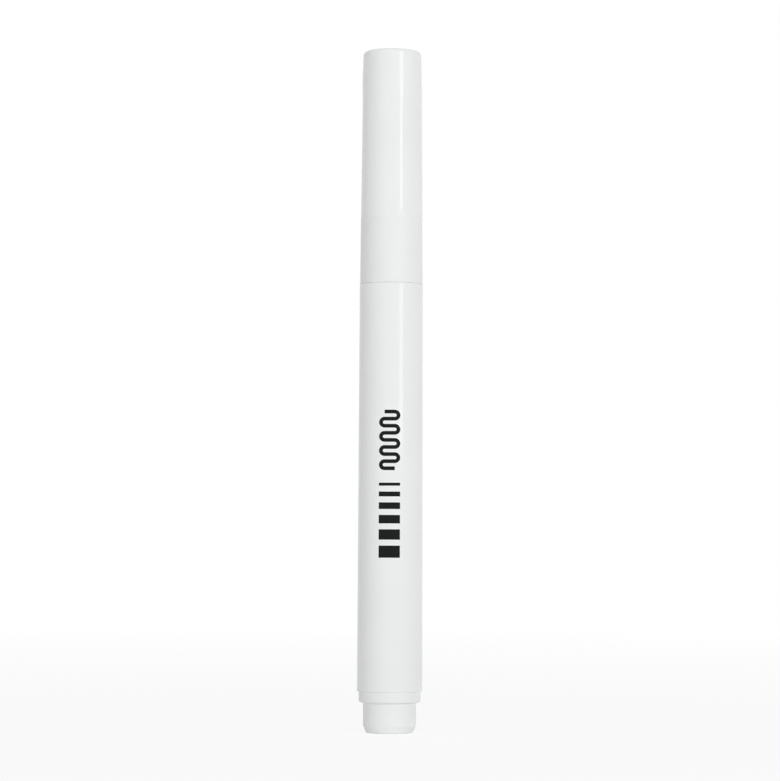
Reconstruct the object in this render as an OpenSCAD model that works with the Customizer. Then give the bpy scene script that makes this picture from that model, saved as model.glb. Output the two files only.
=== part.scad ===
// Capped liquid-chalk marker pen, standing on its tail boss with the cap up.
// Millimetres, +Z along the pen's axis towards the nib, origin at the centre of the boss's flat end.

/* [Barrel] */
// Length of the barrel between its tail end and its mouth
barrel_length = 81; // [60:0.5:120]
// Outside diameter at the mouth, beside the cap
barrel_mouth_d = 12.66; // [12:0.02:16]
// Growth of the radius towards the tail, per millimetre of length
barrel_draft = 0.0024; // [0:0.0002:0.005]
// Wall thickness
barrel_wall = 1.25; // [1.05:0.05:1.5]
// Radius of the rounded outer edges at both ends
barrel_edge_r = 0.1; // [0.1:0.05:0.6]

/* [Cap] */
// Length of the cap
cap_length = 46.78; // [42:0.02:70]
// How far the cap's mouth stands in from the barrel's, per side
cap_seam_step = 0.08; // [0:0.02:0.3]
// Loss of radius towards the closed end, per millimetre of length
cap_draft = 0.0092; // [0.004:0.0002:0.015]
// Wall thickness round the neck of the front section
cap_wall = 0.8; // [0.7:0.02:1]
// Thickness of the closed end
cap_end_wall = 1.4; // [0.8:0.1:2]
// Radius of the rounded edge at the closed end
cap_end_edge_r = 0.65; // [0.2:0.05:1]
// How far the crown draws the closed end in, per side
cap_crown = 0.15; // [0:0.05:0.6]
// Length of the crown, up to the closed end
cap_crown_l = 8.7; // [2:0.1:12]
// Radius of the rounded edge at the mouth
cap_mouth_edge_r = 0.1; // [0.1:0.05:0.3]
// Height of the plain band over the neck
cap_band_h = 12.6; // [8:0.2:18]
// Height of the air pocket above the liner
cap_pocket_h = 6.5; // [3:0.5:10]
// Width of the shoulder that the liner's closed end seats against
cap_liner_shoulder = 0.4; // [0.2:0.1:0.8]

/* [Cap grip] */
// How far the upper cap stands out from the plain band
ridge_h = 0.1; // [0.05:0.01:0.4]
// Length of the ramp from the band up to the ridges
ridge_ramp = 2.2; // [1:0.1:4]
// How far the middle of a panel stands out from the plain band
panel_h = 0.02; // [0:0.01:0.04]
// Number of shallow panels round the upper cap
panel_count = 5; // [3:1:8]
// How far a panel's axis is set back from the cap's axis, which flattens it
panel_setback = 0.45; // [0.25:0.05:1.6]
// Height above the cap's mouth at which the panels run out
panel_top = 39.5; // [24:0.5:41]
// Length over which the panels run out
panel_runout = 3; // [1:0.5:6]
// Direction of the first ridge, from the front (-Y) towards +X
ridge_angle = 17; // [0:1:72]

/* [Cap liner] */
// Wall thickness of the liner
liner_wall = 0.6; // [0.4:0.05:0.9]
// Thickness of its closed end
liner_end_wall = 0.8; // [0.5:0.1:1.5]

/* [Front section] */
// Depth of the spigot pressed into the barrel
spigot_length = 11; // [8:0.5:16]
// Wall thickness of the spigot
spigot_wall = 1.05; // [0.8:0.05:1.3]
// Length of the neck that the cap grips
neck_length = 12.2; // [8:0.2:14.6]
// Height of the two sealing ribs on the neck
rib_h = 0.13; // [0.08:0.01:0.2]
// Width of each rib
rib_w = 0.9; // [0.6:0.1:1.5]
// Length of the cone between the neck and the nose
shoulder_length = 2.4; // [1.5:0.1:4]
// Diameter of the nose
nose_d = 8; // [6.8:0.1:8.4]
// Length of the straight part of the nose
nose_length = 9; // [6:0.5:12]
// Diameter at the front edge of the nose
nose_tip_d = 6.2; // [5.4:0.1:6.6]
// Length of the taper at the front of the nose
nose_tip_length = 2.4; // [1:0.2:4]
// Thickness left between the neck's top and the groove that cores it out
core_roof = 1.4; // [1:0.1:3]

/* [Nib] */
// Diameter of the fibre rod
nib_d = 4.5; // [3.6:0.1:5.4]
// Length of the nib that shows in front of the nose
nib_exposed = 6; // [4:0.5:8]
// Radius of the rounded writing end
nib_tip_r = 0.9; // [0.5:0.1:1.5]
// Length of the taper behind the writing end
nib_taper_length = 3.6; // [2:0.2:4]
// Travel of the nib when it is pressed on the board
nib_travel = 1.5; // [0.8:0.1:2]

/* [Valve] */
// Thickness of the soft seat ring
seat_t = 1.2; // [0.8:0.1:2]
// Diameter of the hole in the seat ring
seat_hole_d = 3.4; // [3.2:0.1:4.2]
// Depth of the chamber for the valve, from the back of the front section
valve_chamber_l = 11.8; // [9:0.2:14]
// Wall thickness of the valve housing
housing_wall = 1; // [0.8:0.05:1.2]
// Length of the housing's cage behind the front section
cage_length = 6.2; // [5:0.2:9]
// Thickness of the housing's flange
flange_t = 1; // [0.8:0.1:1.5]
// Thickness of the wall that the spring stands on
spring_wall_t = 1.2; // [0.8:0.1:2]
// Number of ink windows in the cage
window_count = 3; // [2:1:4]
// Width of an ink window
window_w = 2.4; // [1.5:0.1:3]
// Diameter of the stem's front pin, which touches the nib
stem_pin_d = 2.6; // [2:0.1:2.8]
// Height of the stem's sealing head
stem_head_h = 1.4; // [1:0.1:2.5]
// Diameter of the stem inside the spring
stem_guide_d = 2.8; // [2:0.1:3]
// Length of that guide below the head
stem_guide_l = 2.4; // [1:0.2:4]
// Diameter of the stem's tail
stem_tail_d = 2; // [1.4:0.1:2.2]
// Length of the tail that shows behind the housing
stem_tail_over = 1; // [0.5:0.1:2]

/* [Valve spring] */
// Diameter of the wire
wire_d = 0.4; // [0.3:0.05:0.5]
// Mean diameter of the coil
coil_d = 4; // [3.6:0.1:4.4]
// Number of open turns
open_turns = 6; // [4:1:9]

/* [Tail plug] */
// Height of the collar that closes the barrel
collar_h = 2.2; // [1.2:0.1:4]
// How far the collar stands in from the barrel's tail, per side
collar_step = 0.37; // [0.1:0.01:0.5]
// Radius of the collar's rounded edge beside the boss
collar_edge_r = 0.4; // [0.1:0.05:0.5]
// Height of the boss that the cap posts on
boss_h = 6; // [5:0.2:12]
// Inward size of the slanted edge at the boss's end
boss_edge_w = 0.6; // [0.4:0.1:1.2]
// Height of that slanted edge
boss_edge_h = 1.4; // [0.6:0.1:2.5]
// Wall thickness of the plug
plug_wall = 0.95; // [0.8:0.05:1.3]
// Thickness of the plug's closed end
plug_floor = 1.2; // [0.8:0.1:2]
// Depth of the plug's skirt in the barrel
skirt_length = 7; // [4:0.5:12]

/* [Mixing ball] */
// Diameter of the steel ball
ball_d = 5; // [3:0.1:6]

/* [Fits] */
// Radial gap left in a pressed-together pair
press_gap = 0.02; // [0.01:0.01:0.04]
// Radial gap round the nib, and between the nose and the liner
slide_gap = 0.08; // [0.05:0.01:0.1]
// Radial gap between the neck's ribs and the cap
rib_gap = 0.04; // [0.02:0.01:0.08]
// Radial gap between the posted cap and the boss
post_gap = 0.18; // [0.05:0.01:0.25]
// Gap left at the seam between the cap and the barrel
seam_gap = 0.02; // [0.02:0.01:0.3]
// Radial gap round loose and moving inner pieces
loose_gap = 0.3; // [0.2:0.05:0.4]
// Gap between faces that rest on each other through a moving joint
face_gap = 0.02; // [0.01:0.01:0.05]
// Room left past the end of a moving or a pushed-in piece
end_gap = 0.5; // [0.2:0.1:1]

/* [Hidden] */
$fn = 96;

// Overlap of a cutting shape past the face that it opens
cut = 1;
// Chamfer on inner edges that guide a piece in
lead = 0.3;

// Heights along the axis, from the tail to the cap
barrel_z0 = boss_h + collar_h;
mouth_z = barrel_z0 + barrel_length;
section_z0 = mouth_z - spigot_length;
valve_top_z = section_z0 + valve_chamber_l;
seat_z0 = valve_top_z - seat_t;
neck_top_z = mouth_z + neck_length;
nose_z0 = neck_top_z + shoulder_length;
nose_z1 = nose_z0 + nose_length;
nose_front_z = nose_z1 + nose_tip_length;
nib_z0 = valve_top_z + nib_travel + end_gap;
nib_tip_z = nose_front_z + nib_exposed;
cap_z0 = mouth_z + seam_gap;
cap_z1 = cap_z0 + cap_length;
liner_z0 = nose_z0 + end_gap;
liner_z1 = cap_z1 - cap_end_wall - cap_pocket_h;
housing_z0 = section_z0 - cage_length;
spring_z0 = housing_z0 + spring_wall_t;
head_z1 = seat_z0 - face_gap;
head_z0 = head_z1 - stem_head_h;

// Radii, each from the piece that it fits
barrel_mouth_r = barrel_mouth_d / 2;
barrel_tail_r = barrel_mouth_r + barrel_draft * barrel_length;
bore_mouth_r = barrel_mouth_r - barrel_wall;
bore_tail_r = barrel_tail_r - barrel_wall;
cap_mouth_r = barrel_mouth_r - cap_seam_step;
cap_bore_r = cap_mouth_r - cap_wall;
neck_r = cap_bore_r - rib_gap - rib_h;
boss_r = cap_bore_r - post_gap;
collar_r = barrel_tail_r - collar_step;
spigot_r = bore_mouth_r - press_gap;
chamber_r = spigot_r - spigot_wall;
housing_r = chamber_r - press_gap;
housing_bore_r = housing_r - housing_wall;
nose_r = nose_d / 2;
liner_bore_r = nose_r + slide_gap;
liner_r = liner_bore_r + liner_wall;
cap_upper_bore_r = liner_r + press_gap;
nib_r = nib_d / 2;
nib_bore_r = nib_r + slide_gap;
skirt_r = bore_tail_r - press_gap;
plug_bore_r = skirt_r - plug_wall;

// What to take off an outer corner at [x, y] to leave it rounded to radius r.
// up is 1 for a corner with the material below it, -1 for material above it.
module corner_off(x, y, r, up = 1) {
    difference() {
        translate([x - r, up > 0 ? y - r : y - cut]) square([r + cut, r + cut]);
        translate([x - r, y - up * r]) circle(r);
    }
}

// Solid ring or tube from a half outline
module turned() {
    rotate_extrude() children();
}

// Plain upright cylinder between two heights
module rod(z0, z1, r) {
    translate([0, 0, z0]) cylinder(h = z1 - z0, r = r);
}

// Radius of the cap's plain cone at a height h above its mouth
function cap_r(h) = cap_mouth_r - cap_draft * h;

// Outer outline of the cap: plain band, ramp, the upper part that stands out by ridge_h, and the crown
module cap_outline() {
    ramp_top = cap_band_h + ridge_ramp;
    crown = [
        for (t = [0 : 0.125 : 1])
            let (h = cap_length - cap_crown_l * (1 - t))
            [cap_r(h) + ridge_h - cap_crown * t * t, h]
    ];
    end_r = cap_r(cap_length) + ridge_h - cap_crown;
    translate([0, cap_z0]) difference() {
        polygon(concat(
            [[0, 0], [cap_r(0), 0], [cap_r(cap_band_h), cap_band_h], [cap_r(ramp_top) + ridge_h, ramp_top]],
            crown,
            [[0, cap_length]]
        ));
        corner_off(end_r, cap_length, cap_end_edge_r);
        corner_off(cap_r(0), 0, cap_mouth_edge_r, -1);
    }
}

// Body of revolution whose near side is one shallow panel, set back from the cap's axis
module panel_body(angle) {
    base = panel_setback + panel_h;
    runout_z = panel_top - panel_runout;
    over = ridge_h - panel_h + cut;
    rotate([0, 0, angle]) translate([0, panel_setback, cap_z0]) turned() polygon([
        [0, -cut], [base + cap_r(-cut), -cut],
        [base + cap_r(runout_z), runout_z],
        [base + ridge_h - panel_h + cap_r(panel_top), panel_top],
        [base + over + cap_r(panel_top), panel_top],
        [base + over + cap_r(panel_top), cap_length + cut], [0, cap_length + cut]
    ]);
}

// Inside of the cap: seat bore, cone over the shoulder, liner bore and air pocket
module cap_hollow() {
    cone_z0 = neck_top_z + lead;
    cone_z1 = nose_z0 + lead;
    pocket_r = cap_upper_bore_r - cap_liner_shoulder;
    turned() polygon([
        [0, cap_z0 - cut], [cap_bore_r + lead + cut, cap_z0 - cut], [cap_bore_r, cap_z0 + lead],
        [cap_bore_r, cone_z0], [cap_upper_bore_r, cone_z1], [cap_upper_bore_r, liner_z1],
        [pocket_r, liner_z1], [pocket_r, cap_z1 - cap_end_wall], [0, cap_z1 - cap_end_wall]
    ]);
}

// What to take off the upper cap for one panel
module panel_cut(angle) {
    half_w = cap_r(0) * sin(180 / panel_count);
    difference() {
        rotate([0, 0, angle]) translate([-half_w, -cap_r(0) - cut, cap_z0 + cut])
            cube([2 * half_w, cap_r(0) / 2, panel_top]);
        panel_body(angle);
    }
}

module cap() {
    step = 360 / panel_count;
    color("white") difference() {
        turned() cap_outline();
        for (i = [0 : panel_count - 1]) panel_cut(ridge_angle + (i + 0.5) * step);
        cap_hollow();
    }
}

module cap_liner() {
    color("ivory") turned() polygon([
        [liner_bore_r + lead, liner_z0], [liner_r, liner_z0], [liner_r, liner_z1], [0, liner_z1],
        [0, liner_z1 - liner_end_wall], [liner_bore_r, liner_z1 - liner_end_wall],
        [liner_bore_r, liner_z0 + 2 * lead]
    ]);
}

module barrel() {
    mouth_land = spigot_length + flange_t + lead;
    tail_land = skirt_length + lead;
    color("white") turned() difference() {
        polygon([
            [bore_tail_r, barrel_z0], [barrel_tail_r, barrel_z0],
            [barrel_mouth_r, mouth_z], [bore_mouth_r, mouth_z],
            [bore_mouth_r, mouth_z - mouth_land], [bore_tail_r, barrel_z0 + tail_land]
        ]);
        corner_off(barrel_mouth_r, mouth_z, barrel_edge_r);
        corner_off(barrel_tail_r, barrel_z0, barrel_edge_r, -1);
    }
}

// Raised sealing rib on the neck, with sloped sides
module rib(z) {
    polygon([
        [neck_r - rib_h, z - rib_w / 2 - rib_h], [neck_r, z - rib_w / 2], [neck_r + rib_h, z - rib_w / 4],
        [neck_r + rib_h, z + rib_w / 4], [neck_r, z + rib_w / 2], [neck_r - rib_h, z + rib_w / 2 + rib_h]
    ]);
}

// Groove that cores out the thick neck round the nib's tube
module neck_core() {
    core_depth = neck_top_z - core_roof - valve_top_z;
    translate([0, valve_top_z - cut]) difference() {
        square([chamber_r, core_depth + cut]);
        translate([0, -cut]) square([nib_bore_r + spigot_wall, core_depth + 3 * cut]);
        corner_off(chamber_r, core_depth + cut, lead);
    }
}

module front_section() {
    color("white") turned() difference() {
        union() {
            polygon([
                [0, section_z0], [spigot_r - lead, section_z0], [spigot_r, section_z0 + lead],
                [spigot_r, mouth_z], [neck_r, mouth_z], [neck_r, neck_top_z], [nose_r, nose_z0],
                [nose_r, nose_z1], [nose_tip_d / 2, nose_front_z], [0, nose_front_z]
            ]);
            rib(mouth_z + neck_length / 3);
            rib(mouth_z + neck_length * 2 / 3);
        }
        translate([0, section_z0 - cut]) square([chamber_r, valve_chamber_l + cut]);
        translate([0, valve_top_z - cut]) square([nib_bore_r, nose_front_z - valve_top_z + 2 * cut]);
        neck_core();
    }
}

// Fibre rod with a taper and a rounded writing end
module nib() {
    ball_z = nib_tip_z - nib_tip_r;
    color("white") turned() difference() {
        union() {
            polygon([
                [0, nib_z0], [nib_r, nib_z0], [nib_r, ball_z - nib_taper_length],
                [nib_tip_r, ball_z], [0, ball_z]
            ]);
            translate([0, ball_z]) circle(nib_tip_r);
        }
        translate([-nib_r, nib_z0]) square([nib_r, nib_tip_z]);
    }
}

module valve_seat() {
    color("dimgray") difference() {
        rod(seat_z0, valve_top_z, chamber_r - press_gap);
        rod(seat_z0 - cut, valve_top_z + cut, seat_hole_d / 2);
    }
}

// Ink windows through the wall of the cage
module windows() {
    z0 = spring_z0 + lead;
    z1 = section_z0 - flange_t - lead;
    for (i = [0 : window_count - 1])
        rotate([0, 0, i * 360 / window_count])
            translate([0, -window_w / 2, z0]) cube([housing_r + cut, window_w, z1 - z0]);
}

module valve_housing() {
    guide_hole_r = stem_tail_d / 2 + 2 * slide_gap;
    color("gainsboro") difference() {
        union() {
            rod(housing_z0, seat_z0, housing_r);
            rod(section_z0 - flange_t, section_z0, spigot_r - press_gap);
        }
        rod(spring_z0, seat_z0 + cut, housing_bore_r);
        rod(housing_z0 - cut, spring_z0 + cut, guide_hole_r);
        windows();
    }
}

// Plunger: front pin under the nib, sealing head, spring guide and tail
module valve_stem() {
    color("lightgray") union() {
        rod(head_z0, nib_z0, stem_pin_d / 2);
        rod(head_z0, head_z1, housing_bore_r - loose_gap);
        rod(head_z0 - stem_guide_l, head_z1, stem_guide_d / 2);
        rod(housing_z0 - stem_tail_over, head_z1, stem_tail_d / 2);
    }
}

// Height of the coil's centre line after t turns: a closed turn at each end, open turns between
function coil_z(t, low, high) =
    t < 1 ? low + t * wire_d
    : t > open_turns + 1 ? high - (open_turns + 2 - t) * wire_d
    : low + wire_d + (t - 1) / open_turns * (high - low - 2 * wire_d);

module valve_spring() {
    steps = 14;
    sides = 6;
    turns = open_turns + 2;
    last = turns * steps;
    low = spring_z0 + face_gap + wire_d / 2;
    high = head_z0 - face_gap - wire_d / 2;
    points = [
        for (i = [0 : last], k = [0 : sides - 1])
            let (
                a = i * 360 / steps,
                b = k * 360 / sides,
                r = coil_d / 2 + wire_d / 2 * cos(b)
            )
            [r * cos(a), r * sin(a), coil_z(i / steps, low, high) + wire_d / 2 * sin(b)]
    ];
    faces = concat(
        [[for (k = [sides - 1 : -1 : 0]) k]],
        [
            for (i = [0 : last - 1], k = [0 : sides - 1])
                let (n = (k + 1) % sides)
                [i * sides + k, i * sides + n, (i + 1) * sides + n, (i + 1) * sides + k]
        ],
        [[for (k = [0 : sides - 1]) last * sides + k]]
    );
    color("silver") polyhedron(points = points, faces = faces, convexity = 4);
}

module mixing_ball() {
    color("silver") translate([0, 0, plug_floor + face_gap + ball_d / 2]) sphere(d = ball_d);
}

// Outer outline of the plug: boss, collar and skirt
module plug_outline() {
    difference() {
        union() {
            polygon([
                [0, 0], [boss_r - boss_edge_w, 0], [boss_r, boss_edge_h], [boss_r, boss_h + lead],
                [0, boss_h + lead]
            ]);
            translate([0, boss_h]) square([collar_r, collar_h]);
            polygon([
                [0, barrel_z0 - lead], [skirt_r, barrel_z0 - lead],
                [skirt_r, barrel_z0 + skirt_length - lead],
                [skirt_r - lead, barrel_z0 + skirt_length], [0, barrel_z0 + skirt_length]
            ]);
        }
        corner_off(collar_r, boss_h, collar_edge_r, -1);
    }
}

module tail_plug() {
    color("white") turned() difference() {
        plug_outline();
        translate([0, plug_floor]) difference() {
            square([plug_bore_r, barrel_z0 + skirt_length]);
            corner_off(plug_bore_r, 0, lead, -1);
        }
    }
}

cap();
cap_liner();
barrel();
front_section();
nib();
valve_seat();
valve_housing();
valve_stem();
valve_spring();
mixing_ball();
tail_plug();
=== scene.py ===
from math import atan2, cos, degrees, hypot, log, exp, pi, radians, sin, sqrt

import bmesh
import bpy
from mathutils import Matrix, Vector


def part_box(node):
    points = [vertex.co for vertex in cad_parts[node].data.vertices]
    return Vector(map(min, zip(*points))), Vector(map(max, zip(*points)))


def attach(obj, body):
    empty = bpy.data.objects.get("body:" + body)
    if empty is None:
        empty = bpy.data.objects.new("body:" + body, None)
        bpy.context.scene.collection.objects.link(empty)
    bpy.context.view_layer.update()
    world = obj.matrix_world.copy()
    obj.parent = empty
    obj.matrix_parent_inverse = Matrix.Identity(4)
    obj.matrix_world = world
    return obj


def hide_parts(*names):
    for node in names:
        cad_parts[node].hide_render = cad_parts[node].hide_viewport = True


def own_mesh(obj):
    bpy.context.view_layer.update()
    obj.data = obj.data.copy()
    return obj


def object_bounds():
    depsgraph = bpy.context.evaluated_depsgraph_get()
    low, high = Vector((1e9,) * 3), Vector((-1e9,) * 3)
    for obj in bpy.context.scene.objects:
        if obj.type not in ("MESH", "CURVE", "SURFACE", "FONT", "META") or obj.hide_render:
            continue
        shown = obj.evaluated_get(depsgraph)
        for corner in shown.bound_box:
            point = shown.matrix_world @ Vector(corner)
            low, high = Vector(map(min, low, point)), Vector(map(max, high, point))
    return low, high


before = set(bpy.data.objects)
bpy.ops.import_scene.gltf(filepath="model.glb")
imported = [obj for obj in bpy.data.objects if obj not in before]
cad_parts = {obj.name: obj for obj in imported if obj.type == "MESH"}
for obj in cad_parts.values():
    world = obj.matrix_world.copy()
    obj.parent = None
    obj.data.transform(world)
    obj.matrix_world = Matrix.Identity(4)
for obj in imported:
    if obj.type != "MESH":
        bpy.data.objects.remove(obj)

MM = 0.001
LOW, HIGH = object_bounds()

# ---------------------------------------------------------------------------------------------------- sizes

# Round pieces are turned in this many steps, and their rounded corners have this many facets
TURN_STEPS = 180
CORNER_STEPS = 5
# Points nearer than this are one, and what is picked by its height is picked with this much slack
MERGE_WITHIN = 0.0001
SLACK = 0.01
# Faces that meet at less than this, in degrees, are shaded as one surface
SMOOTH_UNDER = 28

# Cap: heights are above its mouth
CAP_MOUTH_R = 6.25
CAP_DRAFT = 0.0092
CAP_BORE_R = 5.45
CAP_UPPER_BORE_R = 4.70
CAP_POCKET_R = 4.30
CAP_END_WALL = 1.4
CAP_END_EDGE_R = 0.65
# The closed end is crowned: it draws in by this much, over this length
CAP_CROWN = 0.15
CAP_CROWN_L = 8.7
CAP_MOUTH_EDGE_R = 0.1
# What lies this far outside the bore is the cap's outer surface
CAP_SKIN = 0.1
BAND_H = 12.6
RAMP_H = 2.2
RIDGE_OUT = 0.1

# Shallow panels pressed into the upper cap, with a low ridge left between each two
PANEL_COUNT = 5
PANEL_OUT = 0.02
PANEL_SETBACK = 0.45
PANEL_TOP = 39.5
PANEL_RUNOUT = 3
FIRST_RIDGE = 17
PANEL_ROWS = 92
RAMP_STEPS = 8
RAMP_ROWS = 2
CROWN_STEPS = 8
CROWN_ROWS = 5
# Radius to which the moulded edge between a ridge and a panel is softened
RIDGE_SOFTNESS = 0.004

# Barrel
BARREL_MOUTH_R = 6.33
BARREL_DRAFT = 0.0024
BARREL_WALL = 1.25
BARREL_EDGE_R = 0.1
BARREL_MOUTH_LAND = 12.3
BARREL_TAIL_LAND = 7.3

# Front section: the neck and the cone above it are measured from the barrel's mouth
SPIGOT_R = 5.06
CHAMBER_R = 4.01
CHAMBER_L = 11.8
NECK_R = 5.28
NECK_L = 12.2
RIB_OUT = 0.13
RIB_W = 0.9
CONE_L = 2.4
NOSE_R = 4.0
NOSE_TIP_R = 3.1
NOSE_TIP_L = 2.4
NIB_BORE_R = 2.33
NIB_TUBE_WALL = 1.05
CORE_DEPTH = 10

# Nib
NIB_R = 2.25
NIB_TIP_R = 0.9
NIB_TAPER = 3.6

# Cap liner
LINER_R = 4.68
LINER_BORE_R = 4.08
LINER_END_WALL = 0.8

# Tail plug
COLLAR_H = 2.2
COLLAR_STEP = 0.37
COLLAR_EDGE_R = 0.4
BOSS_R = 5.27
BOSS_EDGE_W = 0.6
BOSS_EDGE_H = 1.4
BOSS_END_R = 0.2
BOSS_ROOT_R = 0.3
SKIRT_R = 5.254
SKIRT_BORE_R = 4.304
PLUG_FLOOR = 1.2

# Valve spring
SPRING_WIRE_R = 0.2
SPRING_R = 2.0
SPRING_OPEN_TURNS = 6
WIRE_STEPS = 12
COIL_STEPS = 36

# Edges: lead-in chamfers, and the small radius left where two faces of a moulding meet
LEAD = 0.3
FINE_EDGE_R = 0.12

# Injection gate: a shallow dish, and the stub left in it below the face
GATE_R = 1.3
GATE_DEPTH = 0.3
GATE_SLOPE = 0.1
GATE_CORNER_R = 0.1
GATE_STUB_R = 0.45
GATE_STUB_H = 0.16
GATE_STUB_EDGE_R = 0.04

# Printed mark on the barrel: a snaking line above, and bars from thin to thick below
MARK_TOP = 63.9
MARK_W = 4.2
MARK_OFF_CENTRE = -0.2
SNAKE_LINE = 0.74
SNAKE_TURN_R = 0.7
SNAKE_RUNS = 9
BARS_TOP = 49.5
BAR_THICKNESSES = (0.6, 0.96, 1.32, 1.68, 2.04, 2.4)
BAR_GAP = 1.16
INK_THICKNESS = 0.012
# The mark's shapes are drawn this far in front of the pen's axis, and then laid back on the barrel
MARK_DRAWN_AT = 2 * CAP_MOUTH_R
# Share of the snaking line that is drawn: at its very end the next turn would start
SNAKE_DRAWN = 0.99999
# Steps along the snaking line and across a bar, so that both follow the barrel's curve
SNAKE_STEPS = 220
BAR_STEPS = 24

# ------------------------------------------------------------------------------------------------ modelling


def deselect_all():
    bpy.ops.object.select_all(action="DESELECT")


def edit_mesh(piece):
    """The mesh that is open in edit mode."""
    return bmesh.from_edit_mesh(piece.data)


def select_where(piece, kind, test):
    """In edit mode, selects only the vertices, edges or faces (kind) that pass the test."""
    bpy.ops.mesh.select_mode(type={"verts": "VERT", "edges": "EDGE", "faces": "FACE"}[kind])
    bpy.ops.mesh.select_all(action="DESELECT")
    mesh = edit_mesh(piece)
    for part in getattr(mesh, kind):
        if test(part):
            part.select_set(True)
    mesh.select_flush_mode()
    bmesh.update_edit_mesh(piece.data)


def heights(name):
    """A CAD node's lowest and highest points, in millimetres."""
    low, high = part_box(name)
    return low.z / MM, high.z / MM


def at(corner):
    """Place of an outline's (radius, height) corner, in metres."""
    return Vector((corner[0] * MM, 0, corner[1] * MM))


def draw_outline(name, corners):
    """Leaves a new piece in edit mode: a wire through the corners, drawn as by hand from one point.
    A corner is (radius, height) or (radius, height, rounding)."""
    deselect_all()
    bpy.ops.mesh.primitive_plane_add(size=MM, location=at(corners[0]))
    piece = bpy.context.object
    piece.name = piece.data.name = name
    bpy.ops.object.transform_apply(location=True)
    bpy.ops.object.mode_set(mode="EDIT")
    bpy.ops.mesh.select_mode(type="VERT")
    bpy.ops.mesh.merge(type="CENTER")
    for here, there in zip(corners, corners[1:]):
        bpy.ops.mesh.extrude_region_move(TRANSFORM_OT_translate={"value": at(there) - at(here)})
    bpy.ops.mesh.select_all(action="SELECT")
    bpy.ops.mesh.remove_doubles(threshold=MERGE_WITHIN * MM)
    for corner in corners:
        if len(corner) == 3:
            select_where(piece, "verts", lambda v: (v.co - at(corner)).length < 10 * MERGE_WITHIN * MM)
            bpy.ops.mesh.bevel(
                offset=corner[2] * MM, segments=CORNER_STEPS, affect="VERTICES", clamp_overlap=False
            )
    return piece


def spin_outline(piece):
    """Spins the wire round the pen's axis, closes the seam and the poles, and leaves edit mode."""
    bpy.ops.mesh.select_all(action="SELECT")
    bpy.ops.mesh.spin(steps=TURN_STEPS, angle=2 * pi, center=(0, 0, 0), axis=(0, 0, 1))
    bpy.ops.mesh.select_all(action="SELECT")
    bpy.ops.mesh.remove_doubles(threshold=MERGE_WITHIN * MM)
    bpy.ops.mesh.normals_make_consistent(inside=False)
    bpy.ops.object.mode_set(mode="OBJECT")
    return piece


def turned(name, corners):
    """A solid of revolution from its half outline."""
    return spin_outline(draw_outline(name, corners))


def finish_piece(piece, body, slot_name, material, *nodes):
    """Smooths a piece, gives it its material, and ties it to its CAD body and nodes; slot_name is not used."""
    deselect_all()
    piece.select_set(True)
    bpy.context.view_layer.objects.active = piece
    bpy.ops.object.shade_smooth_by_angle(angle=radians(SMOOTH_UNDER))
    piece.data.materials.clear()
    piece.data.materials.append(material)
    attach(piece, body)
    if nodes:
        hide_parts(*nodes)
    return piece


# ------------------------------------------------------------------------------------------------ materials


def linear(hex_colour):
    """Linear RGBA from an sRGB hex colour."""
    parts = [int(hex_colour[i:i + 2], 16) / 255 for i in (1, 3, 5)]
    return (*(c / 12.92 if c <= 0.04045 else ((c + 0.055) / 1.055) ** 2.4 for c in parts), 1)


def node(tree, kind, inputs=(), **settings):
    """Adds a node. inputs maps a socket's name or number to a value or to another node's output."""
    made = tree.nodes.new("ShaderNode" + kind)
    for setting, value in settings.items():
        setattr(made, setting, value)
    for socket, value in dict(inputs).items():
        if isinstance(value, bpy.types.NodeSocket):
            tree.links.new(value, made.inputs[socket])
        else:
            made.inputs[socket].default_value = value
    return made


def new_material(name, **shader):
    """A Principled material with its plain sockets set; returns it with its tree and shader."""
    material = bpy.data.materials.new(name)
    material.use_nodes = True
    principled = material.node_tree.nodes["Principled BSDF"]
    for socket, value in shader.items():
        principled.inputs[socket.replace("_", " ")].default_value = value
    return material, material.node_tree, principled


def noise(tree, place, size, detail):
    """Noise whose patches are about size millimetres across."""
    scale = 1 / (size * MM)
    return node(tree, "TexNoise", {"Vector": place, "Scale": scale, "Detail": detail}).outputs["Fac"]


# Sizes of the patches of colour and of haze that a moulding shows, how much the haze changes its
# roughness, and how deep a grain of full strength is
FLOW_PATCH = 9
HAZE_PATCH = 3
HAZE = 0.03
GRAIN_DEPTH = 0.05
# Roughness of the cap where its tool is polished, from clear to hazy, and where it is spark-eroded
CAP_CLEAR = 0.1
CAP_HAZY = 0.15
CAP_SATIN = 0.46
# Grain of a spark-eroded tool: it is 0.02 mm, drawn ten times as coarse so that it shows at all
SPARK_GRAIN = 0.2
# Bundles of the nib's fibres, drawn in place of fibres 0.02 mm thick
BUNDLE_W = 0.12
BUNDLE_L = 3
# Width of the polishing marks on steel
STEEL_MARK_W = 0.1


def moulded(name, dark, light, roughness, grain, grain_strength, **shader):
    """A moulded polymer. Flow through the gate leaves its colour a trace uneven, handling leaves a faint
    haze in its gloss, and its surface repeats the tool's, with a grain of the given size."""
    material, tree, principled = new_material(name, **shader)
    place = node(tree, "TexCoord").outputs["Object"]
    flow = noise(tree, place, FLOW_PATCH, 2)
    colour = node(tree, "Mix", {0: flow, 6: linear(dark), 7: linear(light)}, data_type="RGBA")
    tree.links.new(colour.outputs[2], principled.inputs["Base Color"])
    haze = noise(tree, place, HAZE_PATCH, 3)
    rough = node(tree, "MapRange", {"Value": haze, 3: roughness - HAZE, 4: roughness + HAZE})
    tree.links.new(rough.outputs[0], principled.inputs["Roughness"])
    height = noise(tree, place, grain, 1)
    bump = node(tree, "Bump", {"Height": height, "Strength": grain_strength, "Distance": GRAIN_DEPTH * MM})
    tree.links.new(bump.outputs[0], principled.inputs["Normal"])
    return material


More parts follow.
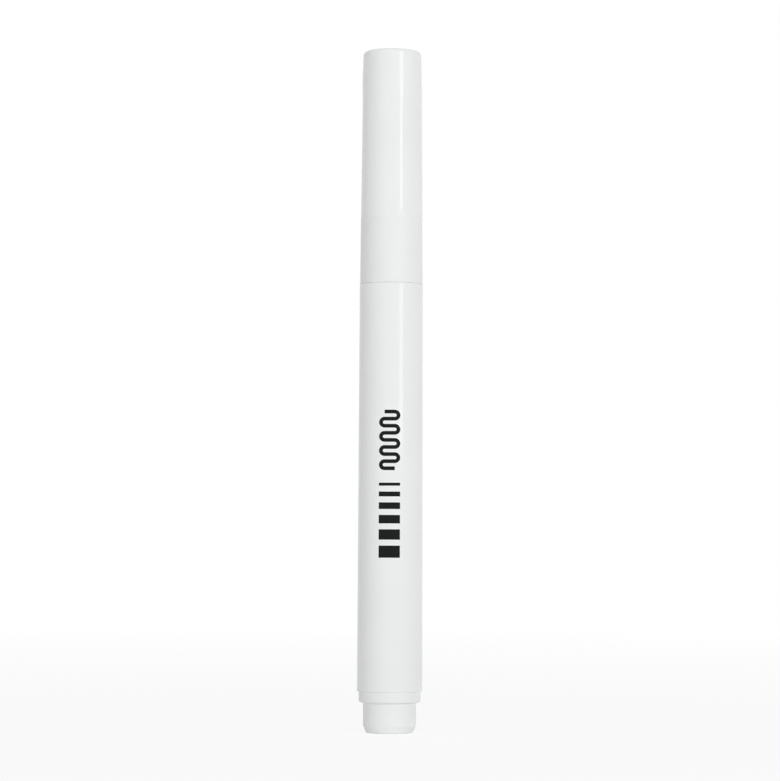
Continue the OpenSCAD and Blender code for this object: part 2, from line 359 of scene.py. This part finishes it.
def cap_polypropylene():
    """White polypropylene from one tool with two finishes. Where the tool is polished, the surface is
    glossy with a trace of grain; the plain band over the neck is spark-eroded, so it is satin."""
    material, tree, shader = new_material("cap_polypropylene", IOR=1.49)
    place = node(tree, "TexCoord").outputs["Object"]
    polish = node(tree, "Attribute", attribute_name="polish").outputs["Fac"]
    flow = noise(tree, place, FLOW_PATCH, 2)
    colour = node(tree, "Mix", {0: flow, 6: linear("#EAECEC"), 7: linear("#EFF1F0")}, data_type="RGBA")
    tree.links.new(colour.outputs[2], shader.inputs["Base Color"])
    haze = noise(tree, place, HAZE_PATCH, 3)
    glossy = node(tree, "MapRange", {"Value": haze, 3: CAP_CLEAR, 4: CAP_HAZY}).outputs[0]
    rough = node(tree, "Mix", {0: polish, 2: CAP_SATIN, 3: glossy}, data_type="FLOAT").outputs[0]
    tree.links.new(rough, shader.inputs["Roughness"])
    height = noise(tree, place, SPARK_GRAIN, 1)
    depth = node(tree, "Mix", {0: polish, 2: 0.05, 3: 0.004}, data_type="FLOAT").outputs[0]
    bump = node(tree, "Bump", {"Height": height, "Strength": depth, "Distance": GRAIN_DEPTH * MM})
    tree.links.new(bump.outputs[0], shader.inputs["Normal"])
    return material


def barrel_polypropylene():
    """White polypropylene from a polished tool: semi-gloss, with orange peel 1.2 mm from crest to crest."""
    return moulded(
        "barrel_polypropylene", "#EAECEC", "#EFF1F0", roughness=0.09, grain=1.2, grain_strength=0.02,
        IOR=1.49, Specular_IOR_Level=0.34,
    )


def plug_polypropylene():
    """White polypropylene from a spark-eroded tool: satin, and it shows wide soft highlights."""
    return moulded(
        "plug_polypropylene", "#E9EBEB", "#EEF0EF", roughness=0.42, grain=SPARK_GRAIN, grain_strength=0.05,
        IOR=1.49,
    )


def section_polypropylene():
    """White polypropylene, polished where the cap and the hand slide over it."""
    return moulded(
        "section_polypropylene", "#EAEBE9", "#F0F0EE", roughness=0.24, grain=0.8, grain_strength=0.02,
        IOR=1.49,
    )


def liner_polyethylene():
    """Natural low-density polyethylene: soft, milky and waxy, so light goes a little way into it."""
    return moulded(
        "liner_polyethylene", "#E6E6E0", "#EEEEE8", roughness=0.36, grain=0.5, grain_strength=0.04,
        IOR=1.51, Subsurface_Weight=0.5, Subsurface_Scale=MM, Subsurface_Radius=(1, 1, 0.9),
    )


def valve_acetal():
    """Natural acetal: hard, slippery and ivory-white, with a dull shine."""
    return moulded(
        "valve_acetal", "#E4E3DB", "#ECEBE4", roughness=0.3, grain=0.3, grain_strength=0.03, IOR=1.48
    )


def seat_rubber():
    """Nitrile rubber, moulded: dark grey and matt, with a dusty bloom."""
    return moulded(
        "nitrile_rubber", "#2E2F30", "#3A3B3C", roughness=0.62, grain=0.15, grain_strength=0.15, IOR=1.52
    )


def pad_printing_ink():
    """Black two-part pad-printing ink: a thin film with a low shine, a little rough where the pad lifted."""
    return moulded(
        "pad_printing_ink", "#0F1011", "#17191A", roughness=0.45, grain=0.12, grain_strength=0.12,
        IOR=1.5, Specular_IOR_Level=0.12,
    )


def nib_fibre():
    """Bonded polyester fibres: they lie along the rod, scatter light between them and leave it matt."""
    material, tree, shader = new_material("polyester_fibre", IOR=1.57, Roughness=0.85, Sheen_Weight=0.15)
    place = node(tree, "TexCoord").outputs["Object"]
    along = node(tree, "Mapping", {"Vector": place, "Scale": (1, 1, BUNDLE_W / BUNDLE_L)}).outputs[0]
    bundles = noise(tree, along, BUNDLE_W, 2)
    colour = node(tree, "Mix", {0: bundles, 6: linear("#DBDAD4"), 7: linear("#F3F2ED")}, data_type="RGBA")
    tree.links.new(colour.outputs[2], shader.inputs["Base Color"])
    bump = node(tree, "Bump", {"Height": bundles, "Strength": 0.5, "Distance": GRAIN_DEPTH * MM})
    tree.links.new(bump.outputs[0], shader.inputs["Normal"])
    return material


def steel(name, dark, light, low, high, length):
    """Bare steel. Its roughness goes from low to high, in polishing marks of the given length round it."""
    material, tree, shader = new_material(name, Metallic=1)
    place = node(tree, "TexCoord").outputs["Object"]
    along = node(tree, "Mapping", {"Vector": place, "Scale": (1, 1, length / STEEL_MARK_W)}).outputs[0]
    marks = noise(tree, along, length, 3)
    colour = node(tree, "Mix", {0: marks, 6: linear(dark), 7: linear(light)}, data_type="RGBA")
    tree.links.new(colour.outputs[2], shader.inputs["Base Color"])
    rough = node(tree, "MapRange", {"Value": marks, 3: low, 4: high})
    tree.links.new(rough.outputs[0], shader.inputs["Roughness"])
    return material


# ---------------------------------------------------------------------------------------------------- cap


CAP_LENGTH = heights("cap")[1] - heights("cap")[0]
CROWN_H = CAP_LENGTH - CAP_CROWN_L


def cap_cone_r(h):
    """Radius of the cap's plain cone at a height above its mouth."""
    return CAP_MOUTH_R - CAP_DRAFT * h


def cap_upper_r(h):
    """Radius of the upper cap's ridges at a height above the mouth, crowned towards the closed end."""
    into_crown = max(h - CROWN_H, 0) / CAP_CROWN_L
    return cap_cone_r(h) + RIDGE_OUT - CAP_CROWN * into_crown ** 2


def ramp_r(part):
    """Radius of the ramp up to the ridges, which rises quickest beside the band; part goes from 0 to 1."""
    return cap_cone_r(BAND_H + part * RAMP_H) + RIDGE_OUT * sin(part * pi / 2)


def panel_r(angle, h):
    """Radius of the nearest panel's surface at an angle round the cap, in degrees from a ridge, and a
    height. A panel is part of a larger cylinder, set back from the axis, that runs out to the ridges at
    its top."""
    off = radians(abs(angle) % (360 / PANEL_COUNT) - 180 / PANEL_COUNT)
    run = min(max((h - PANEL_TOP + PANEL_RUNOUT) / PANEL_RUNOUT, 0), 1)
    big = PANEL_SETBACK + cap_cone_r(h) + PANEL_OUT + run * (RIDGE_OUT - PANEL_OUT)
    if h > PANEL_TOP:
        big += h - PANEL_TOP
    return sqrt(big ** 2 - (PANEL_SETBACK * sin(off)) ** 2) - PANEL_SETBACK * cos(off)


def soft_smaller(a, b, softness):
    """The smaller of two radii, with the edge where they cross softened."""
    return min(a, b) - softness * log(1 + exp(-abs(a - b) / softness))


def press_panels(piece, z0):
    """Presses the panels into the cap's turned outside, and marks the polished surface for the material."""
    polish = piece.data.attributes.new("polish", "FLOAT", "POINT")
    for index, vertex in enumerate(piece.data.vertices):
        x, y, z = vertex.co / MM
        h, radius = z - z0, hypot(x, y)
        on_side = radius > CAP_BORE_R + CAP_SKIN and h > BAND_H - RAMP_H / 2
        on_end = h > CAP_LENGTH - CAP_END_WALL / 2
        polish.data[index].value = 1 if on_end else 0
        if not on_side:
            continue
        angle = degrees(atan2(x, -y)) - FIRST_RIDGE
        panel = panel_r(angle, h)
        pressed = soft_smaller(radius, panel, RIDGE_SOFTNESS)
        vertex.co.x *= pressed / radius
        vertex.co.y *= pressed / radius
        on_ramp = h < BAND_H + RAMP_H and radius < panel
        polish.data[index].value = 0 if on_ramp else 1


def gate_mark(z, inwards):
    """Outline corners of an injection gate's mark in a flat end. inwards, -1 or 1, is the way into it."""
    floor = z + inwards * GATE_DEPTH
    stub = floor - inwards * GATE_STUB_H
    return [
        (0, stub),
        (GATE_STUB_R, stub, GATE_STUB_EDGE_R),
        (GATE_STUB_R, floor),
        (GATE_R, floor, GATE_CORNER_R),
        (GATE_R + GATE_SLOPE, z),
    ]


def make_cap():
    z0, z1 = heights("cap")
    ramp_top = BAND_H + RAMP_H
    crown = [
        (cap_upper_r(CROWN_H + part * CAP_CROWN_L), z0 + CROWN_H + part * CAP_CROWN_L)
        for part in (1 - step / CROWN_STEPS for step in range(1, CROWN_STEPS + 1))
    ]
    ramp = [
        (ramp_r(part), z0 + BAND_H + part * RAMP_H)
        for part in (1 - step / RAMP_STEPS for step in range(RAMP_STEPS))
    ]
    neck_top = heights("barrel")[1] + NECK_L
    nose_z = neck_top + CONE_L
    liner_top = heights("cap_liner")[1]
    piece = draw_outline("cap_shell", gate_mark(z1, -1) + [
        (cap_upper_r(CAP_LENGTH), z1, CAP_END_EDGE_R),
        *crown,
        *ramp,
        (cap_cone_r(BAND_H), z0 + BAND_H),
        (cap_cone_r(0), z0, CAP_MOUTH_EDGE_R),
        (CAP_BORE_R + LEAD, z0),
        (CAP_BORE_R, z0 + LEAD),
        (CAP_BORE_R, neck_top + LEAD),
        (CAP_UPPER_BORE_R, nose_z + LEAD),
        (CAP_UPPER_BORE_R, liner_top),
        (CAP_POCKET_R, liner_top),
        (CAP_POCKET_R, z1 - CAP_END_WALL, LEAD),
        (0, z1 - CAP_END_WALL),
    ])

    def outer_edge(low, high):
        """Tests for the outline's outer edge between two heights above the mouth."""
        def test(edge):
            along = [v.co.z / MM - z0 for v in edge.verts]
            outside = all(hypot(v.co.x, v.co.y) / MM > CAP_BORE_R + CAP_SKIN for v in edge.verts)
            return outside and min(along) > low - SLACK and max(along) < high + SLACK
        return test

    select_where(piece, "edges", outer_edge(CROWN_H, CAP_LENGTH - CAP_END_EDGE_R))
    bpy.ops.mesh.subdivide(number_cuts=CROWN_ROWS)
    select_where(piece, "edges", outer_edge(ramp_top, CROWN_H))
    bpy.ops.mesh.subdivide(number_cuts=PANEL_ROWS)
    select_where(piece, "edges", outer_edge(BAND_H, ramp_top))
    bpy.ops.mesh.subdivide(number_cuts=RAMP_ROWS)
    spin_outline(piece)
    press_panels(piece, z0)
    return piece


# ------------------------------------------------------------------------------------- other turned pieces


def barrel_r(z):
    """Outside radius of the barrel at a height."""
    return BARREL_MOUTH_R + BARREL_DRAFT * (heights("barrel")[1] - z)


def make_barrel():
    z0, z1 = heights("barrel")
    tail_r = barrel_r(z0)
    return turned("barrel_tube", [
        (tail_r - BARREL_WALL, z0),
        (tail_r, z0, BARREL_EDGE_R),
        (BARREL_MOUTH_R, z1, BARREL_EDGE_R),
        (BARREL_MOUTH_R - BARREL_WALL, z1),
        (BARREL_MOUTH_R - BARREL_WALL, z1 - BARREL_MOUTH_LAND),
        (tail_r - BARREL_WALL, z0 + BARREL_TAIL_LAND),
        (tail_r - BARREL_WALL, z0),
    ])


def make_tail_plug():
    """Boss with a slanted, softened end, collar, and the skirt that is pressed into the barrel."""
    z1 = heights("tail_plug")[1]
    collar_top = heights("barrel")[0]
    collar_z = collar_top - COLLAR_H
    collar_r = barrel_r(collar_top) - COLLAR_STEP
    return turned("tail_plug_moulding", gate_mark(0, 1) + [
        (BOSS_R - BOSS_EDGE_W, 0, BOSS_END_R),
        (BOSS_R, BOSS_EDGE_H, BOSS_END_R),
        (BOSS_R, collar_z, BOSS_ROOT_R),
        (collar_r, collar_z, COLLAR_EDGE_R),
        (collar_r, collar_top),
        (SKIRT_R, collar_top),
        (SKIRT_R, z1 - LEAD),
        (SKIRT_R - LEAD, z1),
        (SKIRT_BORE_R, z1),
        (SKIRT_BORE_R, PLUG_FLOOR, LEAD),
        (0, PLUG_FLOOR),
    ])


def rib_corners(z):
    """Outline corners of one sealing rib on the neck, from the top down."""
    return [
        (NECK_R, z + RIB_W / 2, FINE_EDGE_R),
        (NECK_R + RIB_OUT, z + RIB_W / 4, FINE_EDGE_R),
        (NECK_R + RIB_OUT, z - RIB_W / 4, FINE_EDGE_R),
        (NECK_R, z - RIB_W / 2, FINE_EDGE_R),
    ]


def make_front_section():
    """Nose, cone, neck with two sealing ribs, and the spigot, bored for the nib and cored out round it."""
    z0, z1 = heights("front_section")
    mouth = heights("barrel")[1]
    neck_top = mouth + NECK_L
    core_r = NIB_BORE_R + NIB_TUBE_WALL
    chamber_top = z0 + CHAMBER_L
    return turned("front_section_moulding", [
        (NIB_BORE_R, z1, FINE_EDGE_R),
        (NOSE_TIP_R, z1, 2 * FINE_EDGE_R),
        (NOSE_R, z1 - NOSE_TIP_L, 2 * FINE_EDGE_R),
        (NOSE_R, neck_top + CONE_L, LEAD),
        (NECK_R, neck_top, LEAD),
        *rib_corners(mouth + NECK_L * 2 / 3),
        *rib_corners(mouth + NECK_L / 3),
        (NECK_R, mouth),
        (SPIGOT_R, mouth),
        (SPIGOT_R, z0 + LEAD),
        (SPIGOT_R - LEAD, z0),
        (CHAMBER_R, z0),
        (CHAMBER_R, chamber_top + CORE_DEPTH, LEAD),
        (core_r, chamber_top + CORE_DEPTH),
        (core_r, chamber_top),
        (NIB_BORE_R, chamber_top),
        (NIB_BORE_R, z1),
    ])


def make_nib():
    """Fibre rod, ground to a taper and a rounded end."""
    z0, z1 = heights("nib")
    ball_z = z1 - NIB_TIP_R
    ball = [
        (NIB_TIP_R * cos(radians(a)), ball_z + NIB_TIP_R * sin(radians(a)))
        for a in range(0, 90, 10)
    ]
    return turned("fibre_nib", [
        (0, z0), (NIB_R, z0, FINE_EDGE_R), (NIB_R, ball_z - NIB_TAPER, LEAD), *ball, (0, z1)
    ])


def make_liner():
    """Thin inner cap that keeps the nib wet."""
    z0, z1 = heights("cap_liner")
    return turned("cap_liner_moulding", [
        (0, z1),
        (LINER_R, z1, FINE_EDGE_R),
        (LINER_R, z0, FINE_EDGE_R),
        (LINER_BORE_R + LEAD, z0, FINE_EDGE_R / 2),
        (LINER_BORE_R, z0 + 2 * LEAD),
        (LINER_BORE_R, z1 - LINER_END_WALL, LEAD),
        (0, z1 - LINER_END_WALL),
    ])


# --------------------------------------------------------------------------------------------------- spring


def make_spring():
    """Compression spring: round wire, a closed turn at each end and open turns between."""
    z0, z1 = heights("valve_spring")
    turns = SPRING_OPEN_TURNS + 2
    # The wire's section is screwed upwards at a coarse pitch first, so that no two turns meet
    coarse = 10
    deselect_all()
    bpy.ops.mesh.primitive_circle_add(
        vertices=WIRE_STEPS,
        radius=SPRING_WIRE_R * MM,
        location=(SPRING_R * MM, 0, 0),
        rotation=(pi / 2, 0, 0),
    )
    piece = bpy.context.object
    piece.name = piece.data.name = "spring_coil"
    bpy.ops.object.transform_apply(location=True, rotation=True)
    screw = piece.modifiers.new("turns", "SCREW")
    screw.axis = "Z"
    screw.angle = 2 * pi
    screw.iterations = turns
    screw.screw_offset = coarse * MM
    screw.steps = screw.render_steps = COIL_STEPS
    bpy.ops.object.modifier_apply(modifier=screw.name)

    low, high = z0 + SPRING_WIRE_R, z1 - SPRING_WIRE_R
    wire_d = 2 * SPRING_WIRE_R
    open_rise = (high - low - 2 * wire_d) / SPRING_OPEN_TURNS
    for vertex in piece.data.vertices:
        x, y, z = vertex.co / MM
        part = atan2(y, x) / (2 * pi)
        turn = part + round(z / coarse - part)
        rise = min(turn, 1) * wire_d + min(max(turn - 1, 0), SPRING_OPEN_TURNS) * open_rise
        rise += max(turn - 1 - SPRING_OPEN_TURNS, 0) * wire_d
        vertex.co.z = (low + rise + z - turn * coarse) * MM

    bpy.ops.object.mode_set(mode="EDIT")
    select_where(piece, "edges", lambda edge: edge.is_boundary)
    bpy.ops.mesh.fill_holes(sides=WIRE_STEPS)
    bpy.ops.mesh.select_all(action="SELECT")
    bpy.ops.mesh.remove_doubles(threshold=MERGE_WITHIN * MM)
    bpy.ops.mesh.normals_make_consistent(inside=False)
    bpy.ops.object.mode_set(mode="OBJECT")
    return piece


# ---------------------------------------------------------------------------------------------- printed mark


def snake_point(along, across):
    """A point of the snaking line, (x, height): along is measured on its middle line and across from it."""
    run = MARK_W - SNAKE_LINE - 2 * SNAKE_TURN_R
    lap = run + pi * SNAKE_TURN_R
    count, rest = divmod(along, lap)
    side = -1 if count % 2 else 1
    z = MARK_TOP - SNAKE_LINE / 2 - 2 * SNAKE_TURN_R * count
    if rest < run:
        return side * (rest - run / 2), z + side * across
    turn = (rest - run) / SNAKE_TURN_R
    r = SNAKE_TURN_R + side * across
    return side * (run / 2 + r * sin(turn)), z - SNAKE_TURN_R + r * cos(turn)


def flat_grid(name, columns, rows):
    """A flat grid a unit wide and high, upright and facing the front, ready to be shaped."""
    deselect_all()
    bpy.ops.mesh.primitive_grid_add(
        x_subdivisions=columns, y_subdivisions=rows, size=1, rotation=(pi / 2, 0, 0)
    )
    piece = bpy.context.object
    piece.name = piece.data.name = name
    bpy.ops.object.transform_apply(rotation=True)
    return piece


def make_mark(barrel):
    """Pad-printed mark: flat shapes laid on the barrel and given the ink's thickness."""
    run = MARK_W - SNAKE_LINE - 2 * SNAKE_TURN_R
    length = SNAKE_RUNS * run + (SNAKE_RUNS - 1) * pi * SNAKE_TURN_R
    shapes = [flat_grid("snaking_line", 3, SNAKE_STEPS)]
    for vertex in shapes[0].data.vertices:
        along = (vertex.co.z + 0.5) * length * SNAKE_DRAWN
        x, z = snake_point(along, vertex.co.x * SNAKE_LINE)
        vertex.co = ((x + MARK_OFF_CENTRE) * MM, -MARK_DRAWN_AT * MM, z * MM)
    top = BARS_TOP
    for thickness in BAR_THICKNESSES:
        bar = flat_grid("bar", BAR_STEPS, 3)
        for vertex in bar.data.vertices:
            x = vertex.co.x * MARK_W + MARK_OFF_CENTRE
            vertex.co = (x * MM, -MARK_DRAWN_AT * MM, (top + (vertex.co.z - 0.5) * thickness) * MM)
        shapes.append(bar)
        top -= thickness + BAR_GAP

    deselect_all()
    for shape in shapes:
        shape.select_set(True)
    bpy.context.view_layer.objects.active = shapes[0]
    bpy.ops.object.join()
    piece = bpy.context.object
    piece.name = piece.data.name = "printed_mark"
    bpy.ops.object.mode_set(mode="EDIT")
    bpy.ops.mesh.select_all(action="SELECT")
    bpy.ops.mesh.normals_make_consistent(inside=False)
    bpy.ops.object.mode_set(mode="OBJECT")
    wrap = piece.modifiers.new("lay on barrel", "SHRINKWRAP")
    wrap.wrap_method = "PROJECT"
    wrap.use_project_y = True
    wrap.use_negative_direction = True
    wrap.target = barrel
    bpy.ops.object.modifier_apply(modifier=wrap.name)
    ink = piece.modifiers.new("ink", "SOLIDIFY")
    ink.thickness = INK_THICKNESS * MM
    ink.offset = 0
    bpy.ops.object.modifier_apply(modifier=ink.name)
    return piece


finish_piece(make_cap(), "cap", "cap_plastic", cap_polypropylene(), "cap")
barrel = finish_piece(make_barrel(), "barrel", "barrel_plastic", barrel_polypropylene(), "barrel")
finish_piece(make_tail_plug(), "barrel", "plug_plastic", plug_polypropylene(), "tail_plug")
finish_piece(make_front_section(), "barrel", "section_plastic", section_polypropylene(), "front_section")
finish_piece(make_nib(), "nib", "nib_fibre", nib_fibre(), "nib")
finish_piece(make_liner(), "cap", "liner_plastic", liner_polyethylene(), "cap_liner")
finish_piece(make_mark(barrel), "barrel", "print_ink", pad_printing_ink())

# Stainless spring wire, drawn through a die; it shortens by the nib's travel when the nib is pressed
spring_wire = steel("drawn_stainless_wire", "#B4B5B6", "#C9CACA", low=0.2, high=0.34, length=0.6)
spring = finish_piece(make_spring(), "barrel", "spring_steel", spring_wire, "valve_spring")
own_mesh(spring)

# CAD nodes whose shape is right as it is
acetal = valve_acetal()
ball_bearing_steel = steel("ball_bearing_steel", "#C4C5C6", "#D0D1D2", low=0.05, high=0.1, length=1.5)
for name, material in (
    ("valve_seat", seat_rubber()),
    ("valve_housing", acetal),
    ("valve_stem", acetal),
    ("mixing_ball", ball_bearing_steel),
):
    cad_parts[name].data.materials.clear()
    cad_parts[name].data.materials.append(material)

# --------------------------------------------------------------------------------------------------- studio

MIDDLE = (LOW + HIGH) / 2

# Heights of the strip lamp's two ends, in metres. Its mirrored streak ends where the lower one stops
KEY_FOOT = 0.1
KEY_HEAD = 0.33

# The floor fades from lit white card round the pen to plain white, between these distances from it
FLOOR_LIT_TO = 0.1
FLOOR_PLAIN_FROM = 0.6
# Share of plain white in what shows of the floor round the pen
FLOOR_WHITE = 0.88

# Camera: its lens is in millimetres, its roll in degrees, and its places in metres
CAMERA_LENS = 134
CAMERA_ROLL = 0.25
CAMERA_AWAY = 0.58
CAMERA_H = 0.04
CAMERA_OFF_CENTRE = -0.00018


def around(azimuth, distance, height):
    """A place beside the pen, in metres. azimuth is in degrees from the camera's side, towards +X."""
    a = radians(azimuth)
    return Vector((sin(a) * distance, -cos(a) * distance, height))


def softbox(name, place, aim, width, height, radiance, mirrored=False):
    """A rectangular lamp at a place, turned to face another. radiance is its own brightness, where 1 is
    white. Only one that is mirrored shows as a highlight on gloss; in place of the others gloss shows the
    white room."""
    light = bpy.data.lights.new(name, "AREA")
    light.shape = "RECTANGLE"
    light.size, light.size_y = width, height
    light.energy = radiance * pi * width * height
    lamp = bpy.data.objects.new(name, light)
    bpy.context.collection.objects.link(lamp)
    turn = (aim - place).to_track_quat("-Z", "Y").to_matrix().to_4x4()
    lamp.matrix_world = Matrix.Translation(place) @ turn
    lamp.visible_camera = False
    lamp.visible_glossy = mirrored


def white_to_eye(tree):
    """1 for rays that show a thing to the camera, straight, mirrored or through glass, and 0 for light."""
    path = node(tree, "LightPath").outputs
    seen = node(tree, "Math", {0: path["Is Camera Ray"], 1: path["Is Glossy Ray"]}, operation="MAXIMUM")
    ways = {0: seen.outputs[0], 1: path["Is Transmission Ray"]}
    return node(tree, "Math", ways, operation="MAXIMUM").outputs[0]


def make_world(even, lean):
    """A soft room that looks white. Its light is even, plus a part that grows in the direction of lean."""
    world = bpy.data.worlds.new("studio")
    bpy.context.scene.world = world
    world.use_nodes = True
    tree = world.node_tree
    tree.nodes.clear()
    way = node(tree, "TexCoord").outputs["Generated"]
    leaning = node(tree, "VectorMath", {0: way, 1: lean}, operation="DOT_PRODUCT").outputs["Value"]
    strength = node(tree, "Math", {0: leaning, 1: even}, operation="ADD").outputs[0]
    room = node(tree, "Background", {"Color": (1, 1, 1, 1), "Strength": strength})
    white = node(tree, "Background", {"Color": (1, 1, 1, 1), "Strength": 1})
    both = node(tree, "MixShader", {0: white_to_eye(tree), 1: room.outputs[0], 2: white.outputs[0]})
    node(tree, "OutputWorld", {"Surface": both.outputs[0]})


def make_floor():
    """Matt white card that reaches out of sight. Round the pen an eighth of what shows is the lit card,
    which keeps the shadow; further out it is plain white, as the room is."""
    deselect_all()
    bpy.ops.mesh.primitive_circle_add(vertices=96, radius=4, fill_type="NGON", location=(0, 0, LOW.z))
    floor = bpy.context.object
    floor.name = "floor"
    material, tree, shader = new_material("white_card", Roughness=1, Specular_IOR_Level=0)
    place = node(tree, "TexCoord").outputs["Object"]
    fibre = noise(tree, place, 2, 3)
    colour = node(tree, "Mix", {0: fibre, 6: linear("#F4F4F4"), 7: linear("#F7F7F7")}, data_type="RGBA")
    tree.links.new(colour.outputs[2], shader.inputs["Base Color"])
    away = node(tree, "VectorMath", {0: place}, operation="LENGTH").outputs["Value"]
    fade = {"Value": away, 1: FLOOR_LIT_TO, 2: FLOOR_PLAIN_FROM, 3: FLOOR_WHITE, 4: 1}
    plain = node(tree, "MapRange", fade)
    share = node(tree, "Math", {0: white_to_eye(tree), 1: plain.outputs[0]}, operation="MULTIPLY").outputs[0]
    glow = node(tree, "Emission", {"Color": (1, 1, 1, 1), "Strength": 1})
    mixed = node(tree, "MixShader", {0: share, 1: shader.outputs[0], 2: glow.outputs[0]})
    tree.links.new(mixed.outputs[0], tree.nodes["Material Output"].inputs["Surface"])
    floor.data.materials.append(material)


def make_camera():
    """Long lens, level with the lower half of the pen and aimed at its middle."""
    data = bpy.data.cameras.new("camera")
    data.sensor_width = 36
    data.lens = CAMERA_LENS
    camera = bpy.data.objects.new("camera", data)
    bpy.context.collection.objects.link(camera)
    bpy.context.scene.camera = camera
    place = Vector((CAMERA_OFF_CENTRE, -CAMERA_AWAY, LOW.z + CAMERA_H))
    aim = Vector((CAMERA_OFF_CENTRE, 0, MIDDLE.z))
    turn = (aim - place).to_track_quat("-Z", "Y").to_matrix().to_4x4()
    roll = Matrix.Rotation(radians(CAMERA_ROLL), 4, "Z")
    camera.matrix_world = Matrix.Translation(place) @ turn @ roll


def studio_lights():
    """A strip for the long highlight, low softboxes all round for the sides, and one overhead for the ends."""
    key = around(36.8, 0.7, (KEY_FOOT + KEY_HEAD) / 2)
    level = Vector((0, 0, key.z))
    softbox("key_strip", key, level, width=0.17, height=KEY_HEAD - KEY_FOOT, radiance=2.85, mirrored=True)
    for name, azimuth, radiance in (
        ("left_softbox", -30, 3.5),
        ("right_softbox", 30, 5.45),
        ("right_rear_softbox", 120, 3.5),
        ("back_softbox", 180, 4),
    ):
        softbox(name, around(azimuth, 1.3, 0.17), MIDDLE, width=0.8, height=0.34, radiance=radiance)
    softbox("top_softbox", around(0, 0.1, 1.2), MIDDLE, width=1, height=1, radiance=0.65)


make_world(even=0.378, lean=(-0.05, -0.19, 0))
make_floor()
make_camera()
studio_lights()

scene = bpy.context.scene
scene.view_settings.view_transform = "Standard"
